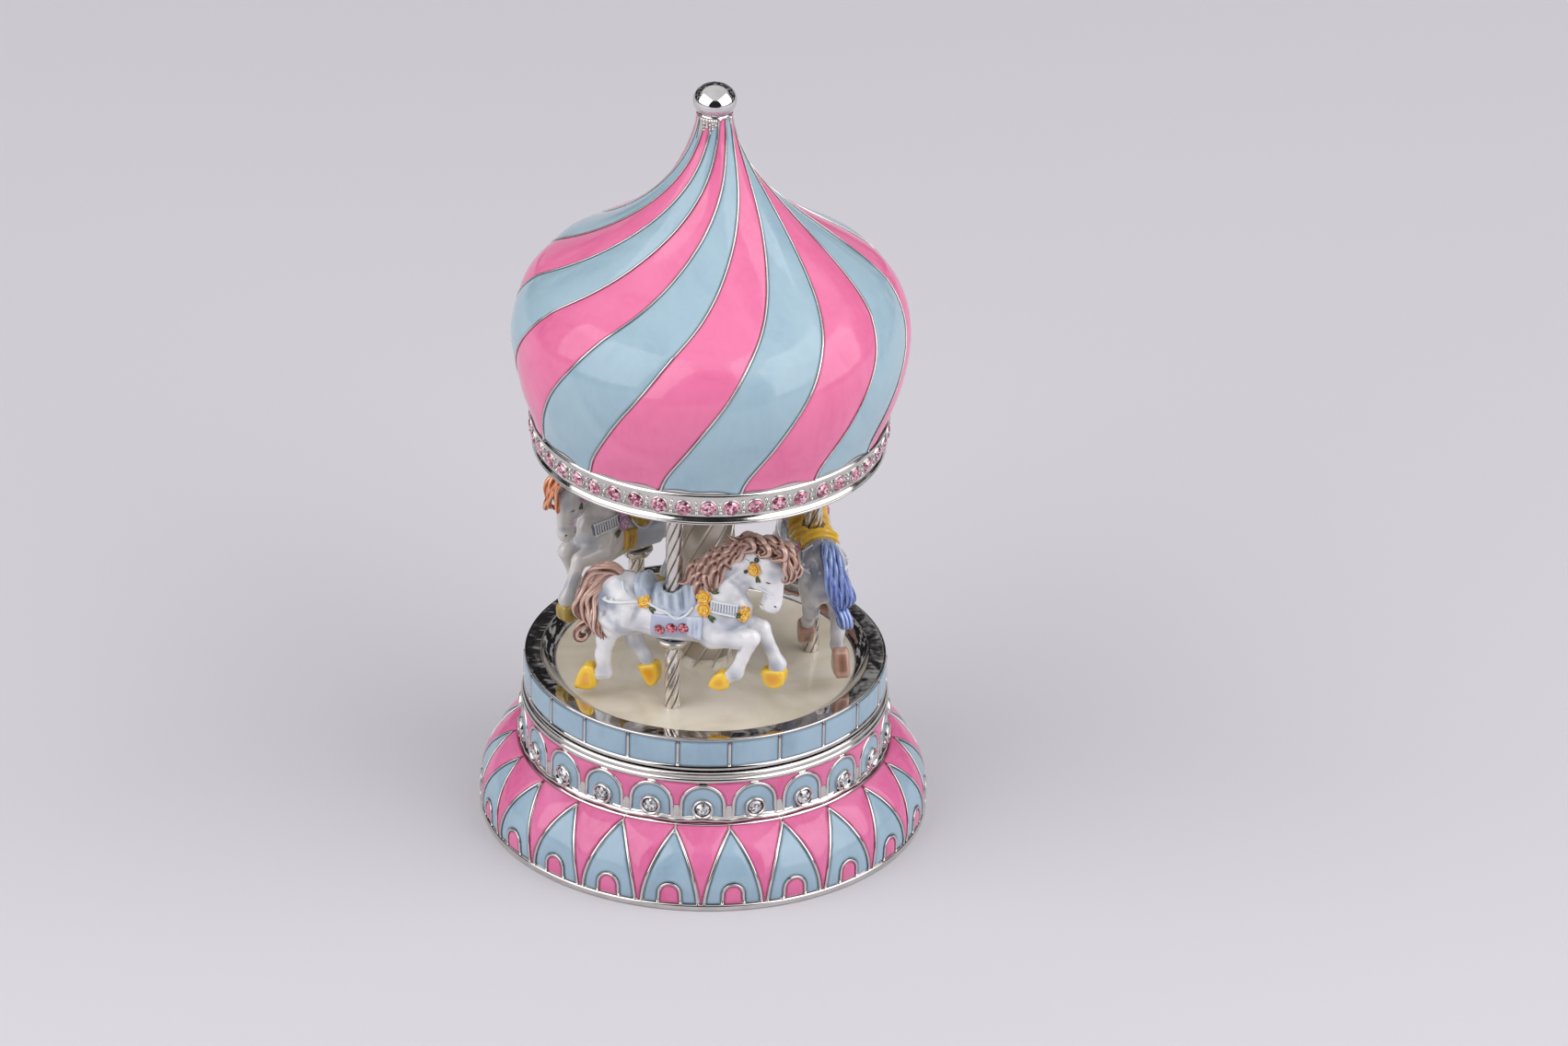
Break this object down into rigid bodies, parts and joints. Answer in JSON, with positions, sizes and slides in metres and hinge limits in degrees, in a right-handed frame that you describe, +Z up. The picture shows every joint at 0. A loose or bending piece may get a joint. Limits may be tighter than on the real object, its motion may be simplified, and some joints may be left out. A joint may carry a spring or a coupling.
{
  "type": "carousel music box",
  "caption": "Carousel music box: an enamelled bell-shaped base with a wound movement turns a round platform of horses on poles under a striped onion dome.",
  "frame": {"origin": "centre of the base's bottom rim, on the surface the box stands on", "axes": "+Z up along the turning axis, -Y towards the front of the box, +X to the right"},
  "size_m": [0.081, 0.081, 0.1458],
  "materials": {
    "base_enamel": "glossy",
    "drum_enamel": "glossy",
    "dome_enamel": "glossy",
    "horse_enamel": "glossy",
    "nickel": "polished",
    "column_nickel": "satin",
    "clear_stone": "polished",
    "pink_stone": "polished",
    "red_stone": "polished",
    "cream_disc": "glossy",
    "steel_plate": "brushed",
    "spring_steel": "satin",
    "zinc": "satin",
    "brass": "satin"
  },
  "bodies": {
    "base": {"base_casting": "base_enamel", "arcade_crystals": "clear_stone", "bottom_plate": "steel_plate", "bottom_plate_screws": "nickel", "movement_bedplate": "zinc", "movement_screws": "nickel", "comb": "spring_steel", "comb_screws": "nickel", "click_spring": "spring_steel", "governor_bracket": "zinc", "governor_bracket_screws": "nickel"},
    "key": {"winding_key": "nickel", "winding_arbor": "nickel", "ratchet_wheel": "nickel"},
    "carousel": {"spring_barrel": "brass", "barrel_cover": "brass", "mainspring": "spring_steel", "drive_hub": "nickel", "turntable_drum": "drum_enamel", "platform_disc": "cream_disc", "centre_column": "column_nickel", "tie_rod": "nickel", "tie_rod_nut": "nickel", "ceiling_plate": "nickel", "ceiling_screws": "nickel", "dome_rim": "nickel", "rim_crystals": "pink_stone", "dome_shell": "dome_enamel", "finial_ball": "nickel", "pole_front": "column_nickel", "pole_right": "column_nickel", "pole_left": "column_nickel", "horse_front": "horse_enamel", "horse_right": "horse_enamel", "horse_left": "horse_enamel", "belly_caps": "nickel", "saddle_crystals": "red_stone"},
    "cylinder": {"music_cylinder": "brass", "cylinder_arbor": "nickel"},
    "governor": {"governor_wheel": "brass"},
    "fly": {"governor_fly": "nickel"}
  },
  "joints": [
    {"name": "carousel_spin", "type": "hinge", "parent": "base", "child": "carousel", "pos_m": [0, 0, 0.0233], "axis": [0, 0, 1], "continuous": true},
    {"name": "key_wind", "type": "hinge", "parent": "base", "child": "key", "pos_m": [0, 0, 0.0088], "axis": [0, 0, 1], "continuous": true},
    {"name": "cylinder_spin", "type": "hinge", "parent": "base", "child": "cylinder", "pos_m": [0.016, 0, 0.01448], "axis": [1, 0, 0], "continuous": true},
    {"name": "governor_spin", "type": "hinge", "parent": "base", "child": "governor", "pos_m": [0.0217, -0.0062, 0.01448], "axis": [1, 0, 0], "continuous": true},
    {"name": "fly_spin", "type": "hinge", "parent": "base", "child": "fly", "pos_m": [0.0234, -0.01, 0.015], "axis": [0, 0, 1], "continuous": true}
  ],
  "couplings": [
    {"joint": "cylinder_spin", "follows": "carousel_spin", "ratio": 4},
    {"joint": "governor_spin", "follows": "carousel_spin", "ratio": -18},
    {"joint": "fly_spin", "follows": "carousel_spin", "ratio": -432}
  ]
}
